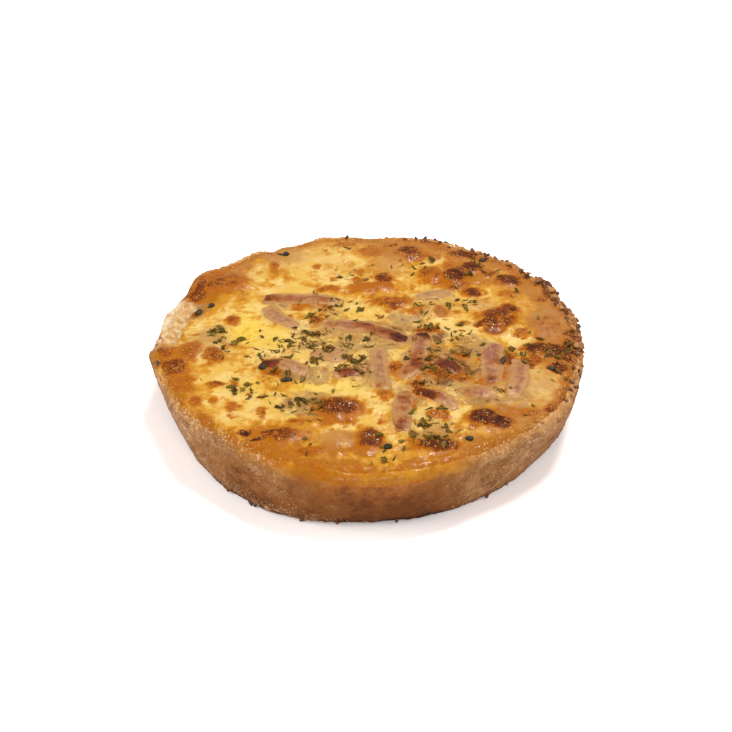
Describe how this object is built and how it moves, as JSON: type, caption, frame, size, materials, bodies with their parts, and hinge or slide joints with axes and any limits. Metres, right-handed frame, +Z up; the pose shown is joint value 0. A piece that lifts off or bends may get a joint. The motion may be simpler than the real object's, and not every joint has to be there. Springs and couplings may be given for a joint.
{
  "type": "quiche",
  "caption": "Small round quiche: a flared shortcrust shell filled with set egg and browned cheese, with strips of cooked ham and dried herbs in its top.",
  "frame": {"origin": "the middle of the underside, on the surface that the quiche stands on", "axes": "+Z up, out of the filling's top; +X to the right and -Y to the front; the torn place in the rim is on the -X side, a little behind the middle"},
  "size_m": [0.1318, 0.1303, 0.0238],
  "materials": {
    "pastry": "baked shortcrust, dry and floury on the wall, browned and slightly glossy on the rim",
    "filling": "set egg custard with melted cheese, moist, with browned blisters and dried herbs",
    "cooked_ham": "moist cooked ham, pink to grey, browned at its edges"
  },
  "bodies": {
    "root": {"crust": "pastry", "filling": "filling", "ham_back_left": "cooked_ham", "ham_back_left_fold": "cooked_ham", "ham_middle_long": "cooked_ham", "ham_middle_left_upright": "cooked_ham", "ham_middle_left_brown": "cooked_ham", "ham_middle_upright": "cooked_ham", "ham_middle_right_piece": "cooked_ham", "ham_front_upright": "cooked_ham", "ham_front_right": "cooked_ham", "ham_right_wide": "cooked_ham", "ham_right_narrow": "cooked_ham", "ham_right_shreds": "cooked_ham", "ham_left_buried": "cooked_ham", "ham_left_brown": "cooked_ham", "ham_back_right": "cooked_ham"}
  },
  "joints": []
}
